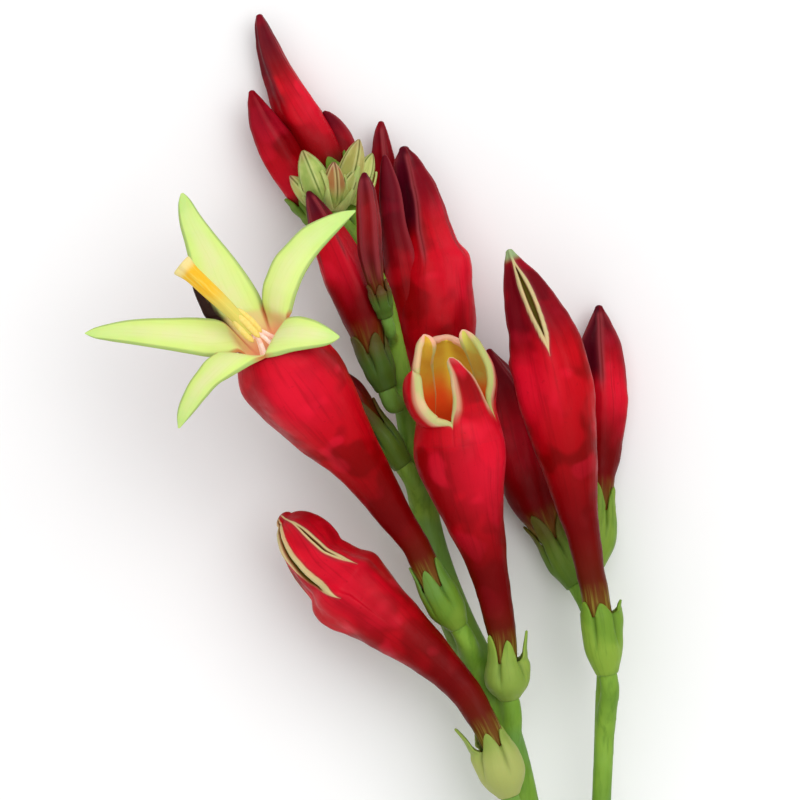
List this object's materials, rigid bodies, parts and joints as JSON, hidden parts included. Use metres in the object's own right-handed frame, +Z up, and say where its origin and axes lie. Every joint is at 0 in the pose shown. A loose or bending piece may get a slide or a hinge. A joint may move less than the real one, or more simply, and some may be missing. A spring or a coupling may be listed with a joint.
{
  "type": "pinkroot flower",
  "caption": "Cut flowering stem of pinkroot, lying flat: red tubular flowers, one open with a yellow-green star, one half open, the rest in bud.",
  "frame": {"origin": "on the surface that the stem lies on, under the middle of the whole stem's box", "axes": "+Y along the stem from its cut end to the flowers' tips, +X across the flower head to its right, +Z up from the surface"},
  "size_m": [0.0628, 0.1534, 0.0326],
  "materials": {
    "stem_green": "satin",
    "calyx_green": "satin",
    "corolla_red": "satin",
    "bud_dark": "satin",
    "bud_green": "satin",
    "lobe_yellow": "satin",
    "style_yellow": "satin",
    "stamen_cream": "satin"
  },
  "bodies": {
    "root": {"stem": "stem_green", "splitting_bud_calyx": "calyx_green", "splitting_bud_corolla": "corolla_red", "tall_bud_calyx": "calyx_green", "tall_bud_corolla": "corolla_red", "right_bud_calyx": "calyx_green", "right_bud_corolla": "corolla_red", "inner_bud_calyx": "calyx_green", "inner_bud_corolla": "corolla_red", "large_back_bud_calyx": "calyx_green", "large_back_bud_corolla": "corolla_red", "slender_back_bud_calyx": "calyx_green", "slender_back_bud_corolla": "corolla_red", "dark_bud_calyx": "calyx_green", "dark_bud_corolla": "corolla_red", "slender_dark_bud_calyx": "calyx_green", "slender_dark_bud_corolla": "bud_dark", "hidden_bud_calyx": "calyx_green", "hidden_bud_corolla": "bud_dark", "upper_left_bud_calyx": "calyx_green", "upper_left_bud_corolla": "corolla_red", "outer_left_bud_calyx": "calyx_green", "outer_left_bud_corolla": "corolla_red", "open_flower_calyx": "calyx_green", "open_flower_tube": "corolla_red", "half_open_flower_calyx": "calyx_green", "half_open_flower_tube": "corolla_red", "open_flower_lobes": "lobe_yellow", "half_open_flower_lobes": "corolla_red", "open_flower_stamens": "stamen_cream", "open_flower_style": "style_yellow", "young_green_buds": "bud_green"}
  },
  "joints": []
}
